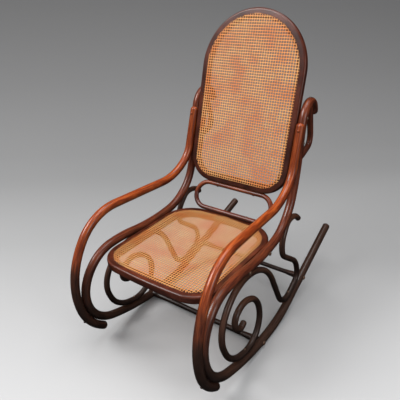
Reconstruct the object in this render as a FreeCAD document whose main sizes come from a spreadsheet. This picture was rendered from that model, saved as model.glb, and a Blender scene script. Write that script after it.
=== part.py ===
import FreeCAD, Part
import math
import os
import Sketcher
from FreeCAD import Placement, Rotation, Vector

doc = FreeCAD.newDocument("bentwood_rocker")
sheet = doc.addObject("Spreadsheet::Sheet", "Sizes")
sheet_row = 0


def size(alias, value):
    """One real size in millimetres or degrees, kept in the sheet under a word."""
    global sheet_row
    sheet_row += 1
    cell = "A%d" % sheet_row
    sheet.set(cell, str(value))
    sheet.setAlias(cell, alias)
    return value


# Round sections of the bent rods
rail_d = size("rail_diameter", 30.6)
arm_d = size("arm_diameter", 30)
scroll_d = size("scroll_diameter", 21.4)
ear_d = size("ear_brace_diameter", 21.6)
lumbar_d = size("lumbar_rod_diameter", 18)

# Woven panels and their rings
seat_thick = size("seat_ring_thickness", 28)
back_thick = size("back_ring_thickness", 24)
cane_thick = size("cane_thickness", 1.6)

# Fastenings: the shank is the nominal size, the hole is wider by the clearance
bolt_d = size("bolt_diameter", 6)
screw_d = size("screw_diameter", 4)
hole_clear = size("hole_clearance", 0.6)

# How the two side frames stand: half distance at the floor, lean and toe per millimetre
rail_x = size("rail_half_distance", 254.5)
rail_toe = size("rail_toe_in", 0.0154)
rail_lean = size("rail_lean_in", 0.0567)
post_twist = size("post_twist_angle", 4.4)
arm_x = size("arm_half_distance", 235.6)
arm_toe = size("arm_toe_out", 0.044)

# Rest position: design coordinates to the box's bottom centre
rest_pitch = size("rest_pitch_angle", 0)
rest_back = size("rest_shift_back", -113.4)
rest_up = size("rest_shift_up", 12.3)

REST = Placement(Vector(0, rest_back, rest_up), Rotation(Vector(1, 0, 0), -rest_pitch))


def origin_plane(body, role):
    return [o for o in body.Origin.OriginFeatures if o.Role == role][0]


def new_body(name, place):
    body = doc.addObject("PartDesign::Body", name)
    body.Label = name
    body.Placement = REST.multiply(place)
    return body


def new_sketch(body, name, offset=None, role="XY_Plane"):
    sketch = body.newObject("Sketcher::SketchObject", name)
    sketch.AttachmentSupport = [(origin_plane(body, role), "")]
    sketch.MapMode = "FlatFace"
    if offset is not None:
        sketch.AttachmentOffset = offset
    return sketch


def run_geometry(corners, radii, closed=False):
    """Straight runs and tangent bends through a line of corners."""
    points = [Vector(c[0], c[1], 0) for c in corners]
    count = len(points)
    bends = []
    indices = range(count) if closed else range(1, count - 1)
    for n, i in enumerate(indices):
        before = (points[i] - points[i - 1]).normalize()
        after = (points[(i + 1) % count] - points[i]).normalize()
        turn = before.getAngle(after)
        reach = radii[n] * math.tan(turn / 2)
        start = points[i] - before * reach
        end = points[i] + after * reach
        inward = (after - before).normalize()
        middle = points[i] + inward * (radii[n] / math.cos(turn / 2) - radii[n])
        bends.append((start, middle, end))
    lines = []
    at = bends[-1][2] if closed else points[0]
    for n, (start, middle, end) in enumerate(bends):
        if at.distanceToPoint(start) > 0.3:
            lines.append(("line", at, start, None))
        lines.append(("arc", start, end, (middle, n)))
        at = end
    if not closed and at.distanceToPoint(points[-1]) > 0.3:
        lines.append(("line", at, points[-1], None))
    return lines


def draw_run(sketch, name, corners, radii, closed=False):
    """Draws the run, ties it together and binds every bend radius to the sheet."""
    pieces = run_geometry(corners, radii, closed)
    drawn = []
    for kind, start, end, bend in pieces:
        if kind == "line":
            index = sketch.addGeometry(Part.LineSegment(start, end), False)
        else:
            index = sketch.addGeometry(Part.Arc(start, bend[0], end), False)
        drawn.append((index, start, end))

    def end_number(index, point):
        near_start = sketch.getPoint(index, 1).distanceToPoint(point)
        near_end = sketch.getPoint(index, 2).distanceToPoint(point)
        return 1 if near_start < near_end else 2

    pairs = list(zip(drawn[:-1], drawn[1:]))
    if closed:
        pairs.append((drawn[-1], drawn[0]))
    for one, two in pairs:
        sketch.addConstraint(Sketcher.Constraint(
            "Tangent", one[0], end_number(one[0], one[2]), two[0], end_number(two[0], two[1])))
    for (index, start, end), (kind, a, b, bend) in zip(drawn, pieces):
        if kind == "line":
            continue
        alias = "%s_bend_%d" % (name, bend[1] + 1)
        made = sketch.addConstraint(Sketcher.Constraint("Radius", index, radii[bend[1]]))
        sketch.renameConstraint(made, alias)
        sketch.setExpression("Constraints." + alias, "Sizes." + alias)


def bend_sizes(name, radii):
    for n, radius in enumerate(radii):
        size("%s_bend_%d" % (name, n + 1), radius)
    return radii


def heading(a, b):
    return math.degrees(math.atan2(b[1] - a[1], b[0] - a[0]))


def rod(body, name, corners, radii, diameter, offset=None, cut=False, sizes=None, closed=False,
        seam=0):
    """A round rod bent along the run, or the same shape cut away; seam turns its seam line."""
    base = offset or Placement()
    path = new_sketch(body, body.Name + "_" + name + "_path", base)
    draw_run(path, sizes or name, corners, radii, closed)
    section = new_sketch(body, body.Name + "_" + name + "_section")
    start = Vector(corners[0][0], corners[0][1], 0)
    turn = heading(corners[0], corners[1])
    if closed:
        first = run_geometry(corners, radii, True)[0]
        start = first[1]
        turn = heading(first[1], first[2])
    across = Rotation(Vector(0, 0, 1), turn).multiply(Rotation(Vector(0, 1, 0), 90))
    across = across.multiply(Rotation(Vector(0, 0, 1), seam))
    section.AttachmentOffset = base.multiply(Placement(start, across))
    section.addGeometry(Part.Circle(Vector(0, 0, 0), Vector(0, 0, 1), 5), False)
    section.addConstraint(Sketcher.Constraint("Coincident", 0, 3, -1, 1))
    made = section.addConstraint(Sketcher.Constraint("Radius", 0, 5))
    section.renameConstraint(made, "rod_radius")
    section.setExpression("Constraints.rod_radius", diameter)
    kind = "PartDesign::SubtractivePipe" if cut else "PartDesign::AdditivePipe"
    pipe = body.newObject(kind, body.Name + "_" + name)
    pipe.Profile = section
    pipe.Spine = (path, [])
    path.Visibility = False
    section.Visibility = False
    return pipe


def rounded_end(body, name, at, toward, diameter, depth, offset=None):
    """The worn half round that closes the end of a rod."""
    base = offset or Placement()
    cap = body.newObject("PartDesign::AdditiveEllipsoid", body.Name + "_" + name)
    cap.AttachmentSupport = [(origin_plane(body, "XY_Plane"), "")]
    cap.MapMode = "FlatFace"
    way = Vector(toward[0], toward[1], 0)
    cap.AttachmentOffset = base.multiply(
        Placement(Vector(at[0], at[1], 0), Rotation(Vector(0, 0, 1), way)))
    cap.Radius1 = depth
    cap.setExpression("Radius2", diameter)
    cap.setExpression("Radius3", diameter)
    cap.Angle1 = 0
    cap.Angle2 = 90
    return cap


def bore(body, name, start, way, length, diameter):
    """A drilled hole, given in design coordinates."""
    hole = body.newObject("PartDesign::SubtractiveCylinder", body.Name + "_" + name)
    hole.AttachmentSupport = [(origin_plane(body, "XY_Plane"), "")]
    hole.MapMode = "FlatFace"
    there = REST.multiply(Placement(Vector(*start), Rotation(Vector(0, 0, 1), Vector(*way))))
    hole.AttachmentOffset = body.Placement.inverse().multiply(there)
    hole.Height = length
    hole.setExpression("Radius", "(Sizes.%s + Sizes.hole_clearance) / 2" % diameter)
    return hole


def side_plane(half, toe, lean, side):
    """The upright plane of one side frame: x runs rearward in it, y runs up."""
    out = Vector(1, toe, lean).normalize()
    back = Vector(-toe, 1, 0).normalize()
    up = out.cross(back)
    mirror = Vector(side, 1, 1)
    back = Vector(back.x * mirror.x, back.y, back.z)
    up = Vector(up.x * mirror.x, up.y, up.z)
    return Placement(Vector(half * side, 0, 0), Rotation(back, up, back.cross(up), "XYZ"))


def in_plane(place, u, v, w=0):
    """A point of a side plane in design coordinates."""
    return place.multVec(Vector(u, v, w))


# Side rail: runner, front curve, seat rail and the start of the post in one plane
RAIL_BEND_8 = (148, 363)
POST_BEND_1 = (234, 430)


def on_run(a, b, share):
    return (a[0] + (b[0] - a[0]) * share, a[1] + (b[1] - a[1]) * share)


RAIL_LOW = [(612, 171), (138, 3), (-95, 3), (-319, 80), (-362, 254), (-265, 358),
            (-157, 366), (-4, 344), RAIL_BEND_8, on_run(RAIL_BEND_8, POST_BEND_1, 0.49)]
RAIL_LOW_R = bend_sizes("rail", [415, 870, 164, 160, 132, 500, 730, 176])
# Upper post with the hook at its head, in a plane that leans less; it starts 2 mm early
POST = [on_run(RAIL_BEND_8, POST_BEND_1, 0.47), POST_BEND_1, (280, 566), (290, 699), (314, 761),
        (352, 792), (403, 770), (406, 742)]
POST_R = bend_sizes("post", [176, 650, 300, 75, 46, 44])
# Arm: from the post down over the front of the side rail
ARM = [(287, 716), (236, 547), (146, 481), (-261, 499), (-402, 311), (-358, 98), (-292, 43.5)]
ARM_R = bend_sizes("arm", [115, 200, 181, 307, 211])
# Scroll between runner and seat rail
SCROLL = [(305, 356), (273, 388), (212, 383.5), (161, 316), (174, 261), (296, 169), (302, 95),
          (205, 54), (150, 73), (40, 316), (-171, 338), (-266, 214), (-213, 71), (-80, 36),
          (-4, 100), (-26, 216), (-124, 254), (-174, 219), (-171, 178), (-141, 160), (-122, 170)]
SCROLL_R = bend_sizes("scroll", [84, 45, 80, 46, 97, 43, 60, 70, 204, 155, 120, 136, 95, 93,
                                 105, 72, 35, 31, 20])
# Ear brace behind the post, under the hook
EAR = [(362, 778), (393, 653), (384, 621), (309, 602), (284, 600)]
EAR_R = bend_sizes("ear", [57, 29, 268])


def post_offset(side):
    """Turns the upper post's plane about the run where it leaves the lower one."""
    low, high = RAIL_LOW[-2], POST[1]
    way = Vector(high[0] - low[0], high[1] - low[1], 0)
    pivot = Vector(POST[0][0], POST[0][1], 0)
    return Placement(Vector(0, 0, 0), Rotation(way, post_twist * side), pivot)


SIDES = (("left", 1), ("right", -1))
rail_place = {name: side_plane(rail_x, rail_toe, rail_lean, s) for name, s in SIDES}
arm_place = {name: side_plane(arm_x, arm_toe, 0, s) for name, s in SIDES}
post_place = {name: rail_place[name].multiply(post_offset(s)) for name, s in SIDES}

# Fastening points, in side plane coordinates
SEAT_BOLTS = [(-90, 350.5), (45, 347.5)]
STRETCHERS = {"front": (-14, 7.5), "rear": (335, 72.4)}
BACK_SCREWS = [(286.2, 660), (306, 742)]
# Scroll to rail: point on the scroll, then the way to the rail
SCROLL_SCREWS = [((206.9, 375.6), (-0.62, 0.784)), ((223.3, 61.8), (0.334, -0.943)),
                 ((-76.8, 328.2), (0.104, 0.995)), ((-123.9, 47.8), (-0.204, -0.979))]
ARM_SCREW = ((-355.2, 119.2), (0.897, 0.442))
EAR_LOW_SCREW = ((282, 600), (1, 0.08))
EAR_HIGH_SCREW = ((361, 784), (0.1, -0.995))

BOLT_HOLE = "bolt_diameter"
SCREW_HOLE = "screw_diameter"


def rail_cut(body, name, side_name, kind, place):
    """Cuts the seat of a crossing rail, 0.3 mm clear, out of another member."""
    source = rail_place[side_name] if kind == "low" else post_place[side_name]
    offset = place.inverse().multiply(source)
    corners = RAIL_LOW if kind == "low" else POST
    radii = RAIL_LOW_R if kind == "low" else POST_R
    sizes = "rail" if kind == "low" else "post"
    return rod(body, name, corners, radii, "Sizes.rail_diameter / 2 + 0.3", offset, True, sizes)


def side_bores(body, side_name):
    """Drills the holes that pass through a side rail."""
    s = 1 if side_name == "left" else -1
    low = rail_place[side_name]
    for n, (u, v) in enumerate(SEAT_BOLTS):
        p = in_plane(low, u, v)
        bore(body, "seat_hole_%d" % (n + 1), (p.x + 40 * s, p.y, p.z), (-s, 0, 0), 80, BOLT_HOLE)
    for name, (u, v) in STRETCHERS.items():
        p = in_plane(low, u, v)
        bore(body, name + "_stretcher_hole", (p.x + 40 * s, p.y, p.z), (-s, 0, 0), 80, BOLT_HOLE)
    for n, (u, v) in enumerate(BACK_SCREWS):
        p = in_plane(post_place[side_name], u, v)
        bore(body, "back_hole_%d" % (n + 1), (p.x + 30 * s, p.y, p.z), (-s, 0, 0), 60, SCREW_HOLE)


def screw_line(place, point, way, back):
    """Start and direction of a screw that comes from `back` behind a point."""
    p = in_plane(place, point[0], point[1])
    d = place.Rotation.multVec(Vector(way[0], way[1], 0))
    return p - d * back, d


for side_name, s in SIDES:
    low = rail_place[side_name]
    post = post_place[side_name]
    body = new_body("side_rail_" + side_name, low)
    rod(body, "runner", RAIL_LOW, RAIL_LOW_R, "Sizes.rail_diameter / 2", sizes="rail")
    rod(body, "post", POST, POST_R, "Sizes.rail_diameter / 2", post_offset(s), seam=90)
    rounded_end(body, "runner_end", RAIL_LOW[0], (474, 168), "Sizes.rail_diameter / 2", 9)
    rounded_end(body, "hook_end", POST[-1], (3, -28), "Sizes.rail_diameter / 2", 13,
                post_offset(s))
    side_bores(body, side_name)
    for n, (point, way) in enumerate(SCROLL_SCREWS):
        start, d = screw_line(low, point, way, 12)
        bore(body, "scroll_hole_%d" % (n + 1), start, d, 36, SCREW_HOLE)
    start, d = screw_line(arm_place[side_name], *ARM_SCREW, 16)
    bore(body, "arm_hole", start, d, 44, SCREW_HOLE)
    start, d = screw_line(post, *EAR_LOW_SCREW, 18)
    bore(body, "ear_hole_low", start, d, 36, SCREW_HOLE)
    start, d = screw_line(post, *EAR_HIGH_SCREW, 18)
    bore(body, "ear_hole_high", start, d, 36, SCREW_HOLE)
    p = in_plane(post, 297, 706)
    bore(body, "arm_top_hole", (p.x, p.y - 40, p.z), (0, 1, 0), 55, SCREW_HOLE)

    body = new_body("arm_" + side_name, arm_place[side_name])
    rod(body, "arm", ARM, ARM_R, "Sizes.arm_diameter / 2")
    rounded_end(body, "front_end", ARM[-1], (66, -54.5), "Sizes.arm_diameter / 2", 11)
    rounded_end(body, "top_end", ARM[0], (51, 169), "Sizes.arm_diameter / 2", 12)
    rail_cut(body, "post_seat", side_name, "post", arm_place[side_name])
    start, d = screw_line(arm_place[side_name], *ARM_SCREW, 16)
    bore(body, "front_hole", start, d, 44, SCREW_HOLE)
    p = in_plane(post, 297, 706)
    bore(body, "top_hole", (p.x, p.y - 40, p.z), (0, 1, 0), 55, SCREW_HOLE)

    body = new_body("scroll_" + side_name, low)
    rod(body, "scroll", SCROLL, SCROLL_R, "Sizes.scroll_diameter / 2")
    rounded_end(body, "outer_end", SCROLL[0], (32, -32), "Sizes.scroll_diameter / 2", 10)
    rounded_end(body, "inner_end", SCROLL[-1], (19, 10), "Sizes.scroll_diameter / 2", 10)
    for n, (point, way) in enumerate(SCROLL_SCREWS):
        start, d = screw_line(low, point, way, 12)
        bore(body, "screw_hole_%d" % (n + 1), start, d, 36, SCREW_HOLE)

    body = new_body("ear_brace_" + side_name, post)
    rod(body, "ear", EAR, EAR_R, "Sizes.ear_brace_diameter / 2")
    rail_cut(body, "post_seat", side_name, "post", post)
    start, d = screw_line(post, *EAR_LOW_SCREW, 18)
    bore(body, "screw_hole_low", start, d, 46, SCREW_HOLE)
    start, d = screw_line(post, *EAR_HIGH_SCREW, 18)
    bore(body, "screw_hole_high", start, d, 46, SCREW_HOLE)

# Seat ring and the cane panel woven over it
SEAT_OUT = [(221, -298), (217.5, 166), (0, 194), (-217.5, 166), (-221, -298), (0, -311)]
SEAT_OUT_R = bend_sizes("seat_outer", [94, 118, 800, 118, 94, 1500])
SEAT_IN = [(184, -263), (180, 131), (0, 158), (-180, 131), (-184, -263), (0, -276)]
SEAT_IN_R = bend_sizes("seat_inner", [58, 82, 690, 82, 58, 1400])
SEAT_CANE = [(198, -280), (201, 142), (0, 170), (-201, 142), (-198, -280), (0, -293)]
SEAT_CANE_R = bend_sizes("seat_cane", [76, 102, 740, 102, 76, 1400])
seat_top = 356
seat_place = Placement(Vector(0, 0, seat_top), Rotation())

# Back ring in its leaning plane: x across, y up along the ring, z forward
back_lean = size("back_lean_angle", 15.3)
BACK_OUT = [(207.2, -87), (207.2, 552), (-207.2, 552), (-207.2, -87)]
BACK_OUT_R = bend_sizes("back_outer", [96, 206.9, 206.9, 96])
BACK_IN = [(173, -54), (173, 519), (-173, 519), (-173, -54)]
BACK_IN_R = bend_sizes("back_inner", [62, 172.7, 172.7, 62])
BACK_CANE = [(186, -67), (186, 532), (-186, 532), (-186, -67)]
BACK_CANE_R = bend_sizes("back_cane", [75, 185.7, 185.7, 75])
back_origin = Vector(0, 249.8, 546.1)
lean = math.radians(back_lean)
back_up = Vector(0, math.sin(lean), math.cos(lean))
back_front = Vector(0, -math.cos(lean), math.sin(lean))
back_place = Placement(back_origin, Rotation(Vector(1, 0, 0), back_up, back_front, "XYZ"))


def plate(body, name, outline, radii, sizes, thickness, up, inner=None, offset=None):
    """A flat plate or ring of the outline, on one side of its plane."""
    sketch = new_sketch(body, body.Name + "_outline", offset)
    draw_run(sketch, sizes, outline, radii, True)
    pad = body.newObject("PartDesign::Pad", body.Name + "_" + name)
    pad.Profile = sketch
    pad.setExpression("Length", thickness)
    pad.Reversed = not up
    sketch.Visibility = False
    if inner is not None:
        hole = new_sketch(body, body.Name + "_opening", offset)
        draw_run(hole, inner[2], inner[0], inner[1], True)
        pocket = body.newObject("PartDesign::Pocket", body.Name + "_open")
        pocket.Profile = hole
        pocket.Type = 1
        pocket.Midplane = True
        hole.Visibility = False
        return pocket
    return pad


def soften(body, feature, radius):
    """Rounds the long edges of a ring or panel."""
    doc.recompute()
    edges = []
    for n, edge in enumerate(feature.Shape.Edges):
        flat = abs(edge.tangentAt(edge.FirstParameter).z) < 0.01
        if flat and edge.Length > 8:
            edges.append("Edge%d" % (n + 1))
    fillet = body.newObject("PartDesign::Fillet", body.Name + "_soft_edges")
    fillet.Base = (feature, edges)
    fillet.Radius = radius
    return fillet


ring_soft = size("ring_edge_radius", 7)
body = new_body("seat_frame", seat_place)
ring = plate(body, "ring", SEAT_OUT, SEAT_OUT_R, "seat_outer", "Sizes.seat_ring_thickness", False,
             (SEAT_IN, SEAT_IN_R, "seat_inner"))
soften(body, ring, ring_soft)
for side_name, s in SIDES:
    for n, (u, v) in enumerate(SEAT_BOLTS):
        p = in_plane(rail_place[side_name], u, v)
        bore(body, "bolt_hole_%s_%d" % (side_name, n + 1), (p.x + 10 * s, p.y, p.z), (-s, 0, 0),
             100, BOLT_HOLE)

body = new_body("seat_cane", seat_place)
plate(body, "panel", SEAT_CANE, SEAT_CANE_R, "seat_cane", "Sizes.cane_thickness", True)

body = new_body("back_frame", back_place)
ring = plate(body, "ring", BACK_OUT, BACK_OUT_R, "back_outer", "Sizes.back_ring_thickness", False,
             (BACK_IN, BACK_IN_R, "back_inner"), Placement(Vector(0, 0, back_thick / 2), Rotation()))
soften(body, ring, ring_soft)
for side_name, s in SIDES:
    for n, (u, v) in enumerate(BACK_SCREWS):
        p = in_plane(post_place[side_name], u, v)
        bore(body, "screw_hole_%s_%d" % (side_name, n + 1), (p.x, p.y, p.z), (-s, 0, 0), 38,
             SCREW_HOLE)

body = new_body("back_cane", back_place)
plate(body, "panel", BACK_CANE, BACK_CANE_R, "back_cane", "Sizes.cane_thickness", True,
      offset=Placement(Vector(0, 0, back_thick / 2), Rotation()))

# Lumbar ring standing on the rear of the seat ring and reaching the back ring
lumbar_low = Vector(0, 178, seat_top + lumbar_d / 2 + 0.2)
lumbar_high = Vector(0, 229.2, 451.9)
lumbar_up = (lumbar_high - lumbar_low).normalize()
lumbar_half = (lumbar_high - lumbar_low).Length / 2
lumbar_place = Placement((lumbar_low + lumbar_high) * 0.5,
                         Rotation(Vector(1, 0, 0), lumbar_up, Vector(1, 0, 0).cross(lumbar_up), "XYZ"))
lumbar_wide = 114 + lumbar_half
LUMBAR = [(lumbar_wide, -lumbar_half), (lumbar_wide, lumbar_half),
          (-lumbar_wide, lumbar_half), (-lumbar_wide, -lumbar_half)]
LUMBAR_R = bend_sizes("lumbar", [round(lumbar_half, 2) - 0.2] * 4)
body = new_body("lumbar_ring", lumbar_place)
rod(body, "lumbar", LUMBAR, LUMBAR_R, "Sizes.lumbar_rod_diameter / 2", closed=True)
LUMBAR_X = (-80, 80)
for n, x in enumerate(LUMBAR_X):
    bore(body, "low_hole_%d" % (n + 1), (x, 178, seat_top + 30), (0, 0, -1), 60, SCREW_HOLE)
    start = Vector(x, lumbar_high.y, lumbar_high.z) - back_up * 12
    bore(body, "high_hole_%d" % (n + 1), start, back_up, 40, SCREW_HOLE)
seat_body = doc.getObject("seat_frame")
back_body = doc.getObject("back_frame")
for n, x in enumerate(LUMBAR_X):
    bore(seat_body, "lumbar_hole_%d" % (n + 1), (x, 178, seat_top + 30), (0, 0, -1), 52, SCREW_HOLE)
    start = Vector(x, lumbar_high.y, lumbar_high.z) - back_up * 12
    bore(back_body, "lumbar_hole_%d" % (n + 1), start, back_up, 40, SCREW_HOLE)


def stretcher(name, u, v, end_r, middle_r, taper):
    """A turned cross rod, thick at its ends and notched over the runners."""
    here = in_plane(rail_place["left"], u, v)
    place = Placement(Vector(0, here.y, here.z), Rotation())
    body = new_body(name, place)
    half = here.x - 10
    profile = new_sketch(body, name + "_profile", role="XZ_Plane")
    corners = [(-half, 0), (half, 0), (half, end_r), (half - taper, middle_r),
               (-half + taper, middle_r), (-half, end_r)]
    for a, b in zip(corners, corners[1:] + corners[:1]):
        profile.addGeometry(Part.LineSegment(Vector(a[0], a[1], 0), Vector(b[0], b[1], 0)), False)
    for n in range(6):
        profile.addConstraint(Sketcher.Constraint("Coincident", n, 2, (n + 1) % 6, 1))
    for value, line, word in ((end_r, 1, "end_radius"), (end_r, 5, "far_end_radius")):
        made = profile.addConstraint(Sketcher.Constraint("DistanceY", line, 1, line, 2,
                                                         value if line == 1 else -value))
        profile.renameConstraint(made, word)
    turned = body.newObject("PartDesign::Revolution", name + "_turned")
    turned.Profile = profile
    turned.ReferenceAxis = (profile, ["H_Axis"])
    turned.Angle = 360
    profile.Visibility = False
    for side_name, s in SIDES:
        rail_cut(body, side_name + "_seat", side_name, "low", place)
        bore(body, side_name + "_hole", (here.x * s + 10 * s, here.y, here.z), (-s, 0, 0), 82,
             BOLT_HOLE)
    return body


stretcher("front_stretcher", *STRETCHERS["front"], 14, 10, 62)
stretcher("rear_stretcher", *STRETCHERS["rear"], 14, 9, 60)


def fastener(name, spots, shank, length, head_r, head_h, slot=True):
    """A group of equal screws or bolts: each spot is the seat of a head and its way."""
    made = []
    for n, (point, way) in enumerate(spots):
        place = REST.multiply(Placement(Vector(*point), Rotation(Vector(0, 0, 1), Vector(*way))))
        stem = doc.addObject("Part::Cylinder", "%s_stem_%d" % (name, n + 1))
        stem.setExpression("Radius", "Sizes.%s / 2" % shank)
        stem.Height = length + 0.5
        stem.Placement = place.multiply(Placement(Vector(0, 0, -0.5), Rotation()))
        head = doc.addObject("Part::Ellipsoid", "%s_head_%d" % (name, n + 1))
        head.Radius1 = head_h
        head.Radius2 = head_r
        head.Radius3 = head_r
        head.Angle1 = -90
        head.Angle2 = 0
        head.Placement = place
        whole = doc.addObject("Part::MultiFuse", "%s_whole_%d" % (name, n + 1))
        whole.Shapes = [stem, head]
        if slot:
            nick = doc.addObject("Part::Box", "%s_nick_%d" % (name, n + 1))
            nick.Length = head_r * 2.2
            nick.Width = head_r * 0.2
            nick.Height = head_h
            nick.Placement = place.multiply(
                Placement(Vector(-head_r * 1.1, -head_r * 0.1, -head_h * 1.45), Rotation()))
            cut = doc.addObject("Part::Cut", "%s_cut_%d" % (name, n + 1))
            cut.Base = whole
            cut.Tool = nick
            whole = cut
        made.append(whole)
    group = doc.addObject("Part::Compound", name)
    group.Label = name
    group.Links = made
    return group


def both_sides(maker):
    return [maker(side_name, s) for side_name, s in SIDES]


# Bolts from the outer faces of the runners into the stretchers
def outside(place, u, v, s, stand):
    p = in_plane(place, u, v)
    return ((p.x + stand * s, p.y, p.z), (-s, 0, 0))


for name in ("front", "rear"):
    u, v = STRETCHERS[name]
    drop = abs({"front": 5.2, "rear": 72.8}[name] - v)
    stand = math.sqrt((rail_d / 2) ** 2 - drop ** 2) + 0.1
    fastener(name + "_stretcher_bolts",
             both_sides(lambda k, s: outside(rail_place[k], u, v, s, stand)),
             "bolt_diameter", 84, 8.5, 5, False)

fastener("seat_bolts",
         [outside(rail_place[k], u, v, s, 15.4) for k, s in SIDES for u, v in SEAT_BOLTS],
         "bolt_diameter", 75, 7.5, 4.5)
fastener("back_screws",
         [outside(post_place[k], u, v, s, 15.4) for k, s in SIDES for u, v in BACK_SCREWS],
         "screw_diameter", 48, 4.6, 3)

nuts = []
for side_name, s in SIDES:
    for n, (u, v) in enumerate(SEAT_BOLTS):
        p = in_plane(rail_place[side_name], u, v)
        inner_face = {1: 182.2, 2: 180.8}[n + 1]
        nut = doc.addObject("Part::Prism", "seat_nut_%s_%d" % (side_name, n + 1))
        nut.Polygon = 6
        nut.Circumradius = 5.8
        nut.Height = 5
        nut.Placement = REST.multiply(Placement(
            Vector((inner_face - 0.4) * s, p.y, p.z), Rotation(Vector(0, 0, 1), Vector(-s, 0, 0))))
        thread = doc.addObject("Part::Cylinder", "seat_nut_thread_%s_%d" % (side_name, n + 1))
        thread.Radius = bolt_d / 2 + 0.05
        thread.Height = 9
        thread.Placement = nut.Placement.multiply(Placement(Vector(0, 0, -2), Rotation()))
        open_nut = doc.addObject("Part::Cut", "seat_nut_open_%s_%d" % (side_name, n + 1))
        open_nut.Base = nut
        open_nut.Tool = thread
        nuts.append(open_nut)
group = doc.addObject("Part::Compound", "seat_nuts")
group.Label = "seat_nuts"
group.Links = nuts

spots = []
for side_name, s in SIDES:
    for point, way in SCROLL_SCREWS:
        start, d = screw_line(rail_place[side_name], point, way, scroll_d / 2 + 0.4)
        spots.append((start, d))
fastener("scroll_screws", spots, "screw_diameter", 32, 4.2, 2.6)

fastener("arm_front_screws",
         [screw_line(arm_place[k], *ARM_SCREW, arm_d / 2 + 0.4) for k, s in SIDES],
         "screw_diameter", 40, 4.6, 3)


def arm_top(side_name):
    p = in_plane(post_place[side_name], 297, 706)
    return ((p.x, p.y - 30.6, p.z), (0, 1, 0))


fastener("arm_top_screws", [arm_top(k) for k, s in SIDES], "screw_diameter", 40, 4.6, 3)

fastener("ear_brace_screws",
         [screw_line(post_place[k], *EAR_LOW_SCREW, 17) for k, s in SIDES]
         + [screw_line(post_place[k], *EAR_HIGH_SCREW, 16) for k, s in SIDES],
         "screw_diameter", 38, 4.2, 2.6)

fastener("lumbar_screws",
         [((x, 178, lumbar_low.z + lumbar_d / 2 + 0.1), (0, 0, -1)) for x in LUMBAR_X]
         + [(Vector(x, lumbar_high.y, lumbar_high.z) - back_up * (lumbar_d / 2 + 0.1), back_up)
            for x in LUMBAR_X],
         "screw_diameter", 34, 4, 2.4)

NODES = ["side_rail_left", "side_rail_right", "arm_left", "arm_right", "scroll_left", "scroll_right",
         "ear_brace_left", "ear_brace_right", "seat_frame", "seat_cane", "back_frame", "back_cane",
         "lumbar_ring", "front_stretcher", "rear_stretcher", "front_stretcher_bolts",
         "rear_stretcher_bolts", "seat_bolts", "seat_nuts", "back_screws", "scroll_screws",
         "arm_front_screws", "arm_top_screws", "ear_brace_screws", "lumbar_screws"]

for name in NODES:
    made = doc.getObject(name)
    if made.TypeId == "PartDesign::Body":
        made.Tip = [o for o in made.Group if hasattr(o, "AddSubShape") or "Fillet" in o.TypeId][-1]
doc.recompute()

for obj in doc.Objects:
    bad = [word for word in obj.State if word in ("Invalid", "Error")]
    if bad:
        print("STATE", obj.Name, obj.State)
os.makedirs("parts", exist_ok=True)
for name in NODES:
    made = doc.getObject(name)
    shape = made.Shape
    good = not shape.isNull() and shape.isValid()
    box = shape.optimalBoundingBox(True, False)
    print("%-24s ok=%s solids=%d vol=%.0f x %.1f..%.1f y %.1f..%.1f z %.1f..%.1f" % (
        name, good, len(shape.Solids), shape.Volume, box.XMin, box.XMax, box.YMin, box.YMax,
        box.ZMin, box.ZMax))
    shape.exportStep("parts/%s.step" % name)
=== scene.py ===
import math

import bpy
from mathutils import Matrix, Vector


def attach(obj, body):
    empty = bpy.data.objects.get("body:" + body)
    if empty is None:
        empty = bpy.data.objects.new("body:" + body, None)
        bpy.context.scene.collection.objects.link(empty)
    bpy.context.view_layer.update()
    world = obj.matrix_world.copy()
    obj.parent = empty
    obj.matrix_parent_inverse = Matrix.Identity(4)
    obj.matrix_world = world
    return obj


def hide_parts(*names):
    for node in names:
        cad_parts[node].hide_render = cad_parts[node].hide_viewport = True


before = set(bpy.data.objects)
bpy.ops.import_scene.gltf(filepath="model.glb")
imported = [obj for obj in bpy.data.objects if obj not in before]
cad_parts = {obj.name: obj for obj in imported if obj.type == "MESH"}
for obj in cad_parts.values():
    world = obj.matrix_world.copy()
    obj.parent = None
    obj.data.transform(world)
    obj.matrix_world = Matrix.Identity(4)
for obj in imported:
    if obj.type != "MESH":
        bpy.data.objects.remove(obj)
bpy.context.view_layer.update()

# Side rails. Each is one beech rod of 30 mm, steamed and bent round an iron form, then stained
# and varnished. A hundred years of floor dust and hands left the runners almost black and the
# posts a deep red brown.


def paint(code):
    """A colour from its sRGB hex code, as linear red, green, blue and full cover."""
    parts = [int(code[i:i + 2], 16) / 255 for i in (1, 3, 5)]
    return [p / 12.92 if p <= 0.04045 else ((p + 0.055) / 1.055) ** 2.4 for p in parts] + [1.0]


def add(tree, kind, sockets=None, **settings):
    """One node with its settings; a socket takes a value or the output of another node."""
    made = tree.nodes.new(kind)
    for word, value in settings.items():
        setattr(made, word, value)
    for socket, value in (sockets or {}).items():
        if isinstance(value, bpy.types.NodeSocket):
            tree.links.new(value, made.inputs[socket])
        else:
            made.inputs[socket].default_value = value
    return made


def new_material(name):
    """A material with no nodes yet, and its node tree."""
    made = bpy.data.materials.new(name)
    made.use_nodes = True
    made.node_tree.nodes.clear()
    return made, made.node_tree


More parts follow.
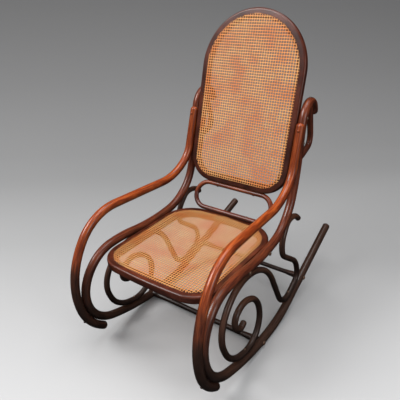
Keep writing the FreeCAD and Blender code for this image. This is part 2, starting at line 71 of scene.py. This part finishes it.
def varnished_beech(name, low_colour, high_colour, worn_colour, low_z, high_z, plane,
                    varnish=0.6):
    """Stained bent beech: dark at low_z and redder at high_z, with the grain along the rod.

    The rod bends in one plane, so how far its surface faces out of that plane stays the same
    along a line of grain. Stain soaked in unevenly over about 90 mm and in streaks 60 mm long
    and 5 mm wide. Beech shows dark flecks about 3 mm long and 1 mm wide. What faces upwards
    gets a painted highlight and the undersides get painted shade. A clear coat lies over it all,
    and varnish says how much of it is left.
    """
    stain_wander = 0.3
    patches_per_metre = 11.0
    made, tree = new_material(name)
    coordinates = add(tree, "ShaderNodeTexCoord").outputs
    place = coordinates["Object"]
    turn = add(tree, "ShaderNodeVectorMath", {0: coordinates["Normal"], 1: plane},
               operation="DOT_PRODUCT").outputs["Value"]
    around = add(tree, "ShaderNodeVectorMath", {0: plane, "Scale": turn},
                 operation="SCALE").outputs[0]

    def grain(along, across, detail):
        """Noise with along cells per metre of the rod and 4 * across cells round it."""
        wide = add(tree, "ShaderNodeVectorMath", {0: around, 1: (across, across, across)},
                   operation="MULTIPLY").outputs[0]
        own = add(tree, "ShaderNodeVectorMath", {0: place, 1: (along, along, along), 2: wide},
                  operation="MULTIPLY_ADD").outputs[0]
        return add(tree, "ShaderNodeTexNoise", {
            "Vector": own, "Scale": 1.0, "Detail": detail}).outputs["Fac"]

    patches = add(tree, "ShaderNodeTexNoise", {
        "Vector": place, "Scale": patches_per_metre, "Detail": 2.0})
    streaks = grain(along=16.0, across=5.0, detail=4.0)
    flecks = grain(along=300.0, across=24.0, detail=1.0)
    height = add(tree, "ShaderNodeSeparateXYZ", {0: place}).outputs["Z"]
    shifted = add(tree, "ShaderNodeMath", {
        0: patches.outputs["Fac"], 1: stain_wander, 2: height},
        operation="MULTIPLY_ADD").outputs[0]
    rise = add(tree, "ShaderNodeMapRange", {
        "Value": shifted, "From Min": low_z + stain_wander / 2,
        "From Max": high_z + stain_wander / 2},
        interpolation_type="SMOOTHSTEP").outputs["Result"]
    stained = add(tree, "ShaderNodeMix", {
        0: rise, 6: paint(low_colour), 7: paint(high_colour)}, data_type="RGBA").outputs[2]
    rubbed = add(tree, "ShaderNodeMapRange", {
        "Value": streaks, "From Min": 0.46, "From Max": 0.7, "To Max": 0.8}).outputs["Result"]
    rubbed = add(tree, "ShaderNodeMath", {0: rubbed, 1: rise}, operation="MULTIPLY").outputs[0]
    worn = add(tree, "ShaderNodeMix", {
        0: rubbed, 6: stained, 7: paint(worn_colour)}, data_type="RGBA").outputs[2]
    soaked = add(tree, "ShaderNodeMapRange", {
        "Value": streaks, "From Min": 0.3, "From Max": 0.5, "To Min": 0.5}).outputs["Result"]
    dark = add(tree, "ShaderNodeMapRange", {
        "Value": flecks, "From Min": 0.34, "From Max": 0.44, "To Min": 0.6}).outputs["Result"]
    both = add(tree, "ShaderNodeMath", {0: soaked, 1: dark}, operation="MULTIPLY").outputs[0]
    grained = add(tree, "ShaderNodeMix", {0: 1.0, 6: worn, 7: both}, data_type="RGBA",
                  blend_type="MULTIPLY").outputs[2]
    # Painted light and shade: faces turned up are painted up to 1.45 times lighter, undersides
    # down to 0.3 times darker.
    facing = add(tree, "ShaderNodeSeparateXYZ", {0: coordinates["Normal"]}).outputs["Z"]
    painted_light_and_shade = add(tree, "ShaderNodeMapRange", {
        "Value": facing, "From Min": -0.35, "From Max": 0.95, "To Min": 0.3,
        "To Max": 1.45}).outputs["Result"]
    grained = add(tree, "ShaderNodeMix", {0: 1.0, 6: grained, 7: painted_light_and_shade}, data_type="RGBA",
                  blend_type="MULTIPLY").outputs[2]
    dull = add(tree, "ShaderNodeMapRange", {
        "Value": patches.outputs["Fac"], "From Min": 0.3, "From Max": 0.7,
        "To Min": 0.3, "To Max": 0.5}).outputs["Result"]
    ripple = add(tree, "ShaderNodeBump", {
        "Height": flecks, "Strength": 0.15, "Distance": 0.0002}).outputs["Normal"]
    shader = add(tree, "ShaderNodeBsdfPrincipled", {
        "Base Color": grained, "Roughness": dull, "Normal": ripple, "Coat Weight": varnish,
        "Coat Roughness": 0.2, "Specular IOR Level": 0.25})
    add(tree, "ShaderNodeOutputMaterial", {"Surface": shader.outputs[0]})
    return made


def finish_nodes(names, material):
    """Gives every slot of these CAD nodes the better material."""
    for name in names:
        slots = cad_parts[name].data.materials
        for n in range(len(slots)):
            slots[n] = material
        if not len(slots):
            slots.append(material)


side_plane = (0.998, 0.015, 0.057)
rail_wood = varnished_beech("varnished_beech_rails", "#3a261d", "#622813", "#84401f", 0.15, 0.5,
                            side_plane)
finish_nodes(["side_rail_left", "side_rail_right"], rail_wood)

# Arms. Each is a 30 mm beech rod from under the runner's front, up round the side rail and back
# to the post. Hands wore its stain to a bright orange brown on top, and it stays dark below.
arm_wood = varnished_beech("varnished_beech_arms", "#3b241a", "#7e310e", "#b0561f", 0.27, 0.46,
                           side_plane)
finish_nodes(["arm_left", "arm_right"], arm_wood)

# Scrolls. Each is a 21 mm beech rod bent into a spiral, a ring and a hump between the runner
# and the seat rail, where nobody touches it, so it kept its dark stain.
scroll_wood = varnished_beech("varnished_beech_scrolls", "#2e201a", "#452a1e", "#5a3826", 0.05,
                              0.4, side_plane, 0.4)
finish_nodes(["scroll_left", "scroll_right"], scroll_wood)

# Ear braces. Short 22 mm beech rods behind the posts, notched over them at both ends and screwed
# on under the hooks, with the same red brown stain as the posts.
ear_wood = varnished_beech("varnished_beech_ears", "#4a2012", "#702f17", "#8f4524", 0.6, 0.75,
                           side_plane)
finish_nodes(["ear_brace_left", "ear_brace_right"], ear_wood)

# Stretchers. Turned beech rods between the runners, thicker at their ends, with the dullest and
# darkest varnish of all because shoes and brooms reach them.
stretcher_wood = varnished_beech("varnished_beech_stretchers", "#2a1e19", "#3c251c", "#4b2c20",
                                 0.0, 0.2, (0.0, 1.0, 0.0), 0.2)
finish_nodes(["front_stretcher", "rear_stretcher"], stretcher_wood)

# Seat ring and back ring. Flat beech rings bent from one strip each, with soft edges and a row
# of holes for the cane along their face.
seat_wood = varnished_beech("varnished_beech_seat_ring", "#30130a", "#4e1f0f", "#6a301a", 0.3,
                            0.4, (0.0, 0.0, 1.0))
finish_nodes(["seat_frame"], seat_wood)
back_wood = varnished_beech("varnished_beech_back_ring", "#30130a", "#4e1f0f", "#6a301a", 0.3,
                            0.8, (0.0, -0.965, 0.264))
finish_nodes(["back_frame"], back_wood)

# Cane seat and cane back. Split rattan skin 1.8 mm wide, woven by hand in six steps through
# holes 9.5 mm apart: two strands each way across the ring and one along each diagonal, so that
# small eight-sided holes are left. The skin is tan and glossy, and dark brown lies between
# strands, partly dirt and partly painted shade.
PITCH = 0.0095
PAIR = 0.00108
STRAND_WIDTH = 0.0018
STRAND_THICKNESS = 0.00045
# The diagonals meet the square weave again after this length.
SLANT_PITCH = PITCH * math.sqrt(2)
# Each strand dives into its hole over its last 2.2 mm.
DIVE_LENGTH = 0.0022
DIVE_SLOPE = 0.9


def outline_points(corners, radii, steps=24):
    """A closed outline in millimetres with round corners, as points in metres."""
    spots = [Vector(c) / 1000 for c in corners]
    found = []
    for i, corner in enumerate(spots):
        before = (corner - spots[i - 1]).normalized()
        after = (spots[(i + 1) % len(spots)] - corner).normalized()
        turn = before.angle(after)
        radius = radii[i] / 1000
        inward = (after - before).normalized()
        middle = corner + inward * (radius / math.cos(turn / 2))
        start = corner - before * radius * math.tan(turn / 2) - middle
        side = 1 if before.x * after.y - before.y * after.x > 0 else -1
        for k in range(steps + 1):
            angle = side * turn * k / steps
            found.append(middle + Matrix.Rotation(angle, 2) @ start)
    return found


def crossing(outline, point, way):
    """Where a straight strand enters and leaves the outline, along way from the point."""
    hits = []
    normal = Vector((-way.y, way.x))
    for a, b in zip(outline, outline[1:] + outline[:1]):
        da = (a - point).dot(normal)
        db = (b - point).dot(normal)
        if (da < 0) != (db < 0):
            cut = a + (b - a) * (da / (da - db))
            hits.append((cut - point).dot(way))
    return (min(hits), max(hits)) if len(hits) > 1 else None


# The next five give the height of a strand's middle over the ring's face, in millimetres, at s
# metres along it.


def pair_lower(s):
    """The first upright strand of a pair, laid before all others."""
    return 0.70


def pair_first(s):
    """The first crosswise strand of a pair, laid on the first upright ones."""
    return 1.10


def pair_upper(s):
    """The second crosswise strand of a pair."""
    return 1.50


def pair_woven(s):
    """The second upright strand, over the first crosswise one and under the second."""
    return 1.27 - 0.36 * math.sin(2 * math.pi * s / PITCH)


def diagonal(s):
    """A diagonal strand, over both strands of one pair and under both of the next."""
    wave = max(-1.0, min(1.0, 1.5 * math.cos(2 * math.pi * s / SLANT_PITCH)))
    return 1.12 + 0.84 * wave


def strand_lines(outline, way, offsets, level, step, shift):
    """One layer of the weave: straight runs across the outline, going up and down by level.

    shift moves a strand's waves along it by that share of its offset.
    """
    points = []
    edges = []
    normal = Vector((-way.y, way.x))
    for offset in offsets:
        base = normal * offset
        ends = crossing(outline, base, way)
        if ends is None or ends[1] - ends[0] < PITCH:
            continue
        first, last = ends
        count = max(3, int((last - first) / step))
        for k in range(count + 1):
            s = first + (last - first) * k / count
            spot = base + way * s
            depth = min(s - first, last - s)
            lift = level(s + shift * offset) / 1000
            lift = lift - max(0.0, DIVE_LENGTH - depth) * DIVE_SLOPE
            points.append((spot.x, spot.y, lift))
            if k:
                edges.append((len(points) - 2, len(points) - 1))
    return points, edges


def strand_tree():
    """Turns the runs of the weave into flat crowned strands, each with its own number."""
    tree = bpy.data.node_groups.new("split_rattan_strands", "GeometryNodeTree")
    tree.interface.new_socket("Runs", in_out="INPUT", socket_type="NodeSocketGeometry")
    tree.interface.new_socket("Strand width", in_out="INPUT", socket_type="NodeSocketFloat")
    tree.interface.new_socket("Strand thickness", in_out="INPUT", socket_type="NodeSocketFloat")
    tree.interface.new_socket("Cane", in_out="INPUT", socket_type="NodeSocketMaterial")
    tree.interface.new_socket("Strands", in_out="OUTPUT", socket_type="NodeSocketGeometry")
    given = add(tree, "NodeGroupInput").outputs
    runs = add(tree, "GeometryNodeMeshToCurve", {"Mesh": given["Runs"]}).outputs["Curve"]
    number = add(tree, "FunctionNodeRandomValue", {"Seed": 7}, data_type="FLOAT")
    runs = add(tree, "GeometryNodeStoreNamedAttribute", {
        "Geometry": runs, "Name": "strand", "Value": number.outputs[1]},
        data_type="FLOAT", domain="CURVE").outputs[0]
    length = add(tree, "GeometryNodeSplineParameter").outputs["Length"]
    runs = add(tree, "GeometryNodeStoreNamedAttribute", {
        "Geometry": runs, "Name": "along", "Value": length},
        data_type="FLOAT", domain="POINT").outputs[0]
    runs = add(tree, "GeometryNodeSetCurveNormal", {"Curve": runs}, mode="Z_UP").outputs[0]
    half = add(tree, "ShaderNodeMath", {0: given["Strand width"], 1: 0.5}, operation="MULTIPLY")
    flat = add(tree, "ShaderNodeMath", {
        0: given["Strand thickness"], 1: given["Strand width"]}, operation="DIVIDE")
    squash = add(tree, "ShaderNodeCombineXYZ", {"X": 1.0, "Y": flat.outputs[0], "Z": 1.0})
    ring = add(tree, "GeometryNodeCurvePrimitiveCircle", {
        "Resolution": 6, "Radius": half.outputs[0]}).outputs["Curve"]
    ring = add(tree, "GeometryNodeTransform", {
        "Geometry": ring, "Scale": squash.outputs[0]}).outputs[0]
    across = add(tree, "ShaderNodeSeparateXYZ", {
        0: add(tree, "GeometryNodeInputPosition").outputs[0]}).outputs["X"]
    ring = add(tree, "GeometryNodeStoreNamedAttribute", {
        "Geometry": ring, "Name": "across", "Value": across},
        data_type="FLOAT", domain="POINT").outputs[0]
    body = add(tree, "GeometryNodeCurveToMesh", {
        "Curve": runs, "Profile Curve": ring, "Fill Caps": True}).outputs["Mesh"]
    panel = add(tree, "GeometryNodeInputPosition").outputs[0]
    body = add(tree, "GeometryNodeStoreNamedAttribute", {
        "Geometry": body, "Name": "panel", "Value": panel},
        data_type="FLOAT_VECTOR", domain="POINT").outputs[0]
    body = add(tree, "GeometryNodeSetShadeSmooth", {"Geometry": body}).outputs[0]
    body = add(tree, "GeometryNodeRealizeInstances", {"Geometry": body}).outputs[0]
    body = add(tree, "GeometryNodeSetMaterial", {
        "Geometry": body, "Material": given["Cane"]}).outputs[0]
    add(tree, "NodeGroupOutput", {"Strands": body})
    return tree


def grown(name, points, edges, tree, given, place, sag):
    """Runs a tree on a bare mesh and returns the plain mesh object it grows, set in place."""
    bare = bpy.data.meshes.new(name + "_runs")
    bare.from_pydata(points, edges, [])
    holder = bpy.data.objects.new(name + "_runs", bare)
    bpy.context.scene.collection.objects.link(holder)
    grow = holder.modifiers.new("grow", "NODES")
    grow.node_group = tree
    for item in tree.interface.items_tree:
        if item.name in given:
            grow[item.identifier] = given[item.name]
    ready = holder.evaluated_get(bpy.context.evaluated_depsgraph_get())
    mesh = bpy.data.meshes.new_from_object(ready)
    for vertex in mesh.vertices:
        vertex.co.z -= sag(vertex.co)
    mesh.transform(place)
    bpy.data.objects.remove(holder)
    made = bpy.data.objects.new(name, mesh)
    bpy.context.scene.collection.objects.link(made)
    return made


def rattan_skin():
    """Split rattan: a shiny tan skin with fine lines, dark brown dirt and painted shade round
    holes.

    Each strand was cut from another stick, so the tan differs from strand to strand, and the
    light aged it unevenly over about a hand's breadth. Fibres are 0.3 mm wide and wander over
    55 mm. Towards every hole, away from the pairs' middles, the strands turn dark brown. This is
    partly dirt and partly painted shade between the strands. Real dirt is a hairline; here the
    dark starts 0.8 mm from a pair's middle, so that holes of one or two pixels still show as
    dark dots.
    """
    fibres_along = 18.0
    fibres_across = 3200.0
    ageing_per_metre = 13.0
    dark_rim_start = 0.0008
    dark_rim_full = 0.0018
    made, tree = new_material("split_rattan_skin")
    place = add(tree, "ShaderNodeTexCoord").outputs["Object"]
    strand = add(tree, "ShaderNodeAttribute", attribute_name="strand").outputs["Fac"]
    along = add(tree, "ShaderNodeAttribute", attribute_name="along").outputs["Fac"]
    across = add(tree, "ShaderNodeAttribute", attribute_name="across").outputs["Fac"]
    panel = add(tree, "ShaderNodeAttribute", attribute_name="panel").outputs["Vector"]
    panel = add(tree, "ShaderNodeSeparateXYZ", {0: panel}).outputs
    # Each strand reads its own slice of the noise.
    row = add(tree, "ShaderNodeMath", {0: strand, 1: 40.0}, operation="MULTIPLY").outputs[0]
    slow = add(tree, "ShaderNodeMath", {
        0: along, 1: fibres_along}, operation="MULTIPLY").outputs[0]
    fine = add(tree, "ShaderNodeMath", {
        0: across, 1: fibres_across}, operation="MULTIPLY").outputs[0]
    own = add(tree, "ShaderNodeCombineXYZ", {"X": slow, "Y": fine, "Z": row}).outputs[0]
    fibres = add(tree, "ShaderNodeTexNoise", {"Vector": own, "Scale": 1.0, "Detail": 2.0})
    ageing = add(tree, "ShaderNodeTexNoise", {
        "Vector": place, "Scale": ageing_per_metre, "Detail": 2.0})
    tan = add(tree, "ShaderNodeMix", {
        0: strand, 6: paint("#ffa65a"), 7: paint("#ffc67e")}, data_type="RGBA").outputs[2]
    aged = add(tree, "ShaderNodeMapRange", {
        "Value": ageing.outputs["Fac"], "From Min": 0.42, "From Max": 0.66}).outputs["Result"]
    tan = add(tree, "ShaderNodeMix", {
        0: aged, 6: tan, 7: paint("#fb984c")}, data_type="RGBA").outputs[2]
    line = add(tree, "ShaderNodeMapRange", {
        "Value": fibres.outputs["Fac"], "From Min": 0.3, "From Max": 0.7,
        "To Min": 0.86, "To Max": 1.08}).outputs["Result"]
    tan = add(tree, "ShaderNodeMix", {0: 1.0, 6: tan, 7: line}, data_type="RGBA",
              blend_type="MULTIPLY").outputs[2]
    # Painted shade: strands lying lower in the weave are painted up to 0.45 darker, as if shaded
    # by the strands above.
    painted_low_shade = add(tree, "ShaderNodeMapRange", {
        "Value": panel["Z"], "From Min": 0.0001, "From Max": 0.0006,
        "To Min": 0.45, "To Max": 0.0}).outputs["Result"]
    beside_x = add(tree, "ShaderNodeMath", {0: panel["X"], 1: PITCH / 2}, operation="PINGPONG")
    beside_y = add(tree, "ShaderNodeMath", {0: panel["Y"], 1: PITCH / 2}, operation="PINGPONG")
    inward = add(tree, "ShaderNodeMath", {
        0: beside_x.outputs[0], 1: beside_y.outputs[0]}, operation="MINIMUM").outputs[0]
    # Dark brown towards every hole, away from the pairs' middles: partly real dirt, partly
    # painted shade between strands.
    rim_dirt_and_shade = add(tree, "ShaderNodeMapRange", {
        "Value": inward, "From Min": dark_rim_start, "From Max": dark_rim_full}).outputs["Result"]
    dirt_and_shade = add(tree, "ShaderNodeMath", {0: painted_low_shade, 1: rim_dirt_and_shade}, operation="MAXIMUM").outputs[0]
    # The dark brown that carries both the dirt and the painted shade.
    colour = add(tree, "ShaderNodeMix", {
        0: dirt_and_shade, 6: tan, 7: paint("#30140a")}, data_type="RGBA").outputs[2]
    relief = add(tree, "ShaderNodeBump", {
        "Height": fibres.outputs["Fac"], "Strength": 0.25, "Distance": 0.0001}).outputs[0]
    shader = add(tree, "ShaderNodeBsdfPrincipled", {
        "Base Color": colour, "Roughness": 0.42, "Normal": relief})
    add(tree, "ShaderNodeOutputMaterial", {"Surface": shader.outputs[0]})
    return made


rattan = rattan_skin()
strands = strand_tree()


def weave(panel, node, outline, place, reach, sag):
    """The six layers of strands over one ring, each its own piece.

    reach is how far from the middle the outermost strand may lie.
    """
    count = int(reach / PITCH) + 1
    firsts = [k * PITCH - PAIR for k in range(-count, count + 1)]
    seconds = [k * PITCH + PAIR for k in range(-count, count + 1)]
    slants = [(k + 0.5) * PITCH / math.sqrt(2) for k in range(-2 * count, 2 * count)]
    up = Vector((0, 1))
    over = Vector((1, 0))
    rising = Vector((1, 1)).normalized()
    falling = Vector((-1, 1)).normalized()
    layers = [
        ("upright_first", up, firsts, pair_lower, PITCH, 0.0),
        ("upright_second", up, seconds, pair_woven, PITCH / 4, 0.0),
        ("crosswise_first", over, firsts, pair_first, PITCH, 0.0),
        ("crosswise_second", over, seconds, pair_upper, PITCH, 0.0),
        ("slant_rising", rising, slants, diagonal, SLANT_PITCH / 5, 1.0),
        ("slant_falling", falling, slants, diagonal, SLANT_PITCH / 5, 1.0)]
    for word, way, offsets, level, step, shift in layers:
        points, edges = strand_lines(outline, way, offsets, level, step, shift)
        piece = grown(panel + "_" + word, points, edges, strands, {
            "Strand width": STRAND_WIDTH, "Strand thickness": STRAND_THICKNESS,
            "Cane": rattan}, place, sag)
        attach(piece, "root")
        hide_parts(node)


def peg_tree():
    """Sets one small crowned plug on every point of a ring's row of holes."""
    tree = bpy.data.node_groups.new("cane_plugs", "GeometryNodeTree")
    tree.interface.new_socket("Holes", in_out="INPUT", socket_type="NodeSocketGeometry")
    tree.interface.new_socket("Plug width", in_out="INPUT", socket_type="NodeSocketFloat")
    tree.interface.new_socket("Wood", in_out="INPUT", socket_type="NodeSocketMaterial")
    tree.interface.new_socket("Plugs", in_out="OUTPUT", socket_type="NodeSocketGeometry")
    given = add(tree, "NodeGroupInput").outputs
    half = add(tree, "ShaderNodeMath", {0: given["Plug width"], 1: 0.5}, operation="MULTIPLY")
    plug = add(tree, "GeometryNodeMeshUVSphere", {
        "Segments": 10, "Rings": 6, "Radius": half.outputs[0]}).outputs["Mesh"]
    plug = add(tree, "GeometryNodeTransform", {
        "Geometry": plug, "Scale": (1.0, 1.0, 0.5)}).outputs[0]
    plug = add(tree, "GeometryNodeSetShadeSmooth", {"Geometry": plug}).outputs[0]
    uneven = add(tree, "FunctionNodeRandomValue", {
        "Min": (0.85, 0.85, 0.7), "Max": (1.1, 1.1, 1.15), "Seed": 3}, data_type="FLOAT_VECTOR")
    plugs = add(tree, "GeometryNodeInstanceOnPoints", {
        "Points": given["Holes"], "Instance": plug, "Scale": uneven.outputs[0]}).outputs[0]
    plugs = add(tree, "GeometryNodeRealizeInstances", {"Geometry": plugs}).outputs[0]
    plugs = add(tree, "GeometryNodeSetMaterial", {
        "Geometry": plugs, "Material": given["Wood"]}).outputs[0]
    add(tree, "NodeGroupOutput", {"Plugs": plugs})
    return tree


def hole_row(outline, out):
    """The drilled holes: points PITCH apart along the outline, set outwards by out."""
    middle = sum(outline, Vector((0, 0))) / len(outline)
    lengths = [(b - a).length for a, b in zip(outline, outline[1:] + outline[:1])]
    count = round(sum(lengths) / PITCH)
    gap = sum(lengths) / count
    found = []
    walked = 0.0
    target = 0.0
    for a, b, length in zip(outline, outline[1:] + outline[:1], lengths):
        while target < walked + length and len(found) < count:
            spot = a + (b - a) * ((target - walked) / length)
            found.append(spot + (spot - middle).normalized() * out)
            target += gap
        walked += length
    return [(spot.x, spot.y, 0.0) for spot in found]


def plug_row(name, node, outline, place, wood):
    """The wooden plugs that hold the strands' ends in their holes."""
    outwards = -0.0004
    plug_width = 0.0052
    piece = grown(name, hole_row(outline, outwards), [], plugs, {
        "Plug width": plug_width, "Wood": wood}, place, no_sag)
    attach(piece, "root")
    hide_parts(node)


plugs = peg_tree()


def seat_sag(spot):
    """A sat-on seat hangs 5 mm deeper in its middle."""
    deepest = 0.005
    half_width = 0.178
    half_depth = 0.21
    middle_y = -0.055
    wide = max(0.0, 1 - (spot.x / half_width) ** 2)
    deep = max(0.0, 1 - ((spot.y - middle_y) / half_depth) ** 2)
    return deepest * (wide * deep) ** 2


def no_sag(spot):
    """The back's weave hangs upright and the plugs sit in wood."""
    return 0.0


# The source draws the chair about its own origin, and the rest position moves that by these.
rest_back = -0.1134
rest_up = 0.0123
seat_top = 0.356
seat_place = Matrix.Translation((0, rest_back, seat_top + rest_up))
# The outlines follow the rows of holes: corners in millimetres, then the radius at each.
seat_outline = outline_points([(198, -280), (201, 142), (0, 170), (-201, 142), (-198, -280),
                               (0, -293)], [76, 102, 740, 102, 76, 1400])
weave("seat_weave", "seat_cane", seat_outline, seat_place, reach=0.33, sag=seat_sag)
plug_row("seat_plugs", "seat_cane", seat_outline, seat_place, seat_wood)

back_lean = math.radians(15.3)
back_up = Vector((0, math.sin(back_lean), math.cos(back_lean)))
back_front = Vector((0, -math.cos(back_lean), math.sin(back_lean)))
ring_half_thickness = 0.012
# The back's own origin in the source, moved to rest and then out to the ring's front face.
back_origin = Vector((0, 0.2498 + rest_back, 0.5461 + rest_up))
back_origin += back_front * ring_half_thickness
back_place = Matrix.Translation(back_origin) @ Matrix((Vector((1, 0, 0)), back_up,
                                                       back_front)).transposed().to_4x4()
back_outline = outline_points([(186, -67), (186, 532), (-186, 532), (-186, -67)],
                              [75, 185.7, 185.7, 75])
weave("back_weave", "back_cane", back_outline, back_place, reach=0.6, sag=no_sag)
plug_row("back_plugs", "back_cane", back_outline, back_place, back_wood)

# Lumbar ring. An 18 mm beech rod bent to a long oval, screwed between the seat ring and the
# back ring, where the sitter's back rubbed its stain paler.
lumbar_wood = varnished_beech("varnished_beech_lumbar", "#521f10", "#7c3519", "#9c5129", 0.37,
                              0.47, (0.0, -0.87, 0.49))
finish_nodes(["lumbar_ring"], lumbar_wood)

# Bolts, nuts and screws. Mild steel, blackened and then browned by a hundred years of damp air,
# with the grey steel showing where the brown is thin. The arms' screw heads were stained and
# varnished over with the arms.


def dark_steel():
    """Browned steel with pits about 3 mm apart, shinier where the brown is thin."""
    made, tree = new_material("browned_steel")
    place = add(tree, "ShaderNodeTexCoord").outputs["Object"]
    rust = add(tree, "ShaderNodeTexNoise", {"Vector": place, "Scale": 350.0, "Detail": 4.0})
    tone = add(tree, "ShaderNodeMapRange", {
        "Value": rust.outputs["Fac"], "From Min": 0.4, "From Max": 0.65}).outputs["Result"]
    colour = add(tree, "ShaderNodeMix", {
        0: tone, 6: paint("#8c7a6a"), 7: paint("#8a5a40")}, data_type="RGBA").outputs[2]
    rough = add(tree, "ShaderNodeMapRange", {
        "Value": rust.outputs["Fac"], "To Min": 0.25, "To Max": 0.6}).outputs["Result"]
    pits = add(tree, "ShaderNodeBump", {
        "Height": rust.outputs["Fac"], "Strength": 0.2, "Distance": 0.0003}).outputs[0]
    shader = add(tree, "ShaderNodeBsdfPrincipled", {
        "Base Color": colour, "Metallic": 0.85, "Roughness": rough, "Normal": pits})
    add(tree, "ShaderNodeOutputMaterial", {"Surface": shader.outputs[0]})
    return made


finish_nodes(["front_stretcher_bolts", "rear_stretcher_bolts", "seat_bolts", "seat_nuts",
              "back_screws", "scroll_screws", "ear_brace_screws", "lumbar_screws"], dark_steel())
finish_nodes(["arm_front_screws", "arm_top_screws"], arm_wood)

# Studio. A paper sweep runs under the chair and up behind it, painted pale in front and grey far
# up as a painted fall-off of light.
# It is lit by a large soft lamp above the camera's left, a wide one overhead and a weak one at
# the right. Glossy rays see a dark room, so that the varnish mirrors little besides the lamps.
sweep_bend = 1.2
sweep_start = 1.3
sweep_side = 12.0
sweep_front = -4.0
sweep_top = 4.5
sweep_steps = 24
# The paper lies this much under the runners, so that the two never share a plane.
sweep_drop = 0.0005
# toward is the level way that the camera looks, and beside is the way to its right.
toward = Vector((-0.596, 0.803, 0.0)).normalized()
beside = Vector((toward.y, -toward.x, 0.0))
sweep_profile = [(sweep_front, 0.0), (0.0, 0.0)]
for k in range(sweep_steps + 1):
    angle = math.radians(90 * k / sweep_steps)
    sweep_profile.append((sweep_start + sweep_bend * math.sin(angle),
                          sweep_bend * (1 - math.cos(angle))))
sweep_profile.append((sweep_start + sweep_bend, sweep_top))
sweep_points = []
for back, up in sweep_profile:
    for side in (-sweep_side, sweep_side):
        spot = toward * back + beside * side
        sweep_points.append((spot.x, spot.y, up - sweep_drop))
sweep_faces = [(2 * k, 2 * k + 1, 2 * k + 3, 2 * k + 2) for k in range(len(sweep_profile) - 1)]
sweep_mesh = bpy.data.meshes.new("paper_sweep")
sweep_mesh.from_pydata(sweep_points, [], sweep_faces)
for face in sweep_mesh.polygons:
    face.use_smooth = True
sweep = bpy.data.objects.new("paper_sweep", sweep_mesh)
bpy.context.scene.collection.objects.link(sweep)

paper, tree = new_material("studio_paper")
spot = add(tree, "ShaderNodeTexCoord").outputs["Object"]
back = add(tree, "ShaderNodeVectorMath", {0: spot, 1: toward}, operation="DOT_PRODUCT")
up = add(tree, "ShaderNodeSeparateXYZ", {0: spot}).outputs["Z"]
run = add(tree, "ShaderNodeMath", {0: back.outputs["Value"], 1: up}, operation="ADD").outputs[0]
share = add(tree, "ShaderNodeMapRange", {
    "Value": run, "From Min": -1.0, "From Max": 5.0}).outputs["Result"]
ramp = add(tree, "ShaderNodeValToRGB", {"Fac": share})
# Painted shade: the paper's own colour darkens with distance back and up, standing in for light
# falling off.
painted_falloff_greys = [(0.0, "#d2d2d2"), (0.25, "#a4a4a4"), (0.45, "#888888"), (0.62, "#767676"),
          (0.8, "#646464")]
while len(ramp.color_ramp.elements) < len(painted_falloff_greys):
    ramp.color_ramp.elements.new(0.5)
for element, (position, code) in zip(ramp.color_ramp.elements, painted_falloff_greys):
    element.position = position
    element.color = paint(code)
mirrored = add(tree, "ShaderNodeLightPath").outputs["Is Glossy Ray"]
grey = add(tree, "ShaderNodeMix", {
    0: mirrored, 6: ramp.outputs["Color"], 7: paint("#1c1c1c")}, data_type="RGBA").outputs[2]
shader = add(tree, "ShaderNodeBsdfPrincipled", {
    "Base Color": grey, "Roughness": 0.9, "Specular IOR Level": 0.1})
add(tree, "ShaderNodeOutputMaterial", {"Surface": shader.outputs[0]})
sweep_mesh.materials.append(paper)

world = bpy.data.worlds.new("studio_air")
bpy.context.scene.world = world
world.use_nodes = True
world.node_tree.nodes.clear()
mirrored = add(world.node_tree, "ShaderNodeLightPath").outputs["Is Glossy Ray"]
glow = add(world.node_tree, "ShaderNodeMapRange", {
    "Value": mirrored, "To Min": 0.78, "To Max": 0.05}).outputs["Result"]
air = add(world.node_tree, "ShaderNodeBackground", {"Color": paint("#ececee"), "Strength": glow})
add(world.node_tree, "ShaderNodeOutputWorld", {"Surface": air.outputs[0]})


def soft_lamp(name, place, aim, wide, high, watts):
    """A soft box of wide by high metres at a place, turned towards aim."""
    lamp = bpy.data.lights.new(name, "AREA")
    lamp.shape = "RECTANGLE"
    lamp.size = wide
    lamp.size_y = high
    lamp.energy = watts
    made = bpy.data.objects.new(name, lamp)
    made.location = place
    made.rotation_euler = (Vector(aim) - Vector(place)).to_track_quat("-Z", "Y").to_euler()
    bpy.context.scene.collection.objects.link(made)


soft_lamp("lamp_left", (-2.2, -2.4, 3.6), (0, 0, 0.5), wide=2.2, high=1.8, watts=140)
soft_lamp("lamp_above", (0.1, 0.1, 4.4), (0, 0, 0), wide=2.6, high=2.6, watts=80)
soft_lamp("lamp_right", (3.0, -1.0, 1.8), (0, 0, 0.5), wide=1.0, high=1.6, watts=20)

# The camera's place, turn and lens come from a fit of the chair's own curves.
camera_data = bpy.data.cameras.new("photo_camera")
camera_data.lens = 40.7
camera_data.sensor_width = 36
camera = bpy.data.objects.new("photo_camera", camera_data)
ahead = Vector((-0.532, 0.717, -0.450)).normalized()
right = Vector((0.813, 0.581, -0.034))
right = (right - ahead * right.dot(ahead)).normalized()
top = right.cross(ahead)
camera_place = (0.821, -1.2204, 1.2083)
camera.matrix_world = Matrix.Translation(camera_place) @ Matrix(
    (right, top, -ahead)).transposed().to_4x4()
bpy.context.scene.collection.objects.link(camera)
bpy.context.scene.camera = camera
bpy.context.scene.view_settings.view_transform = "Standard"
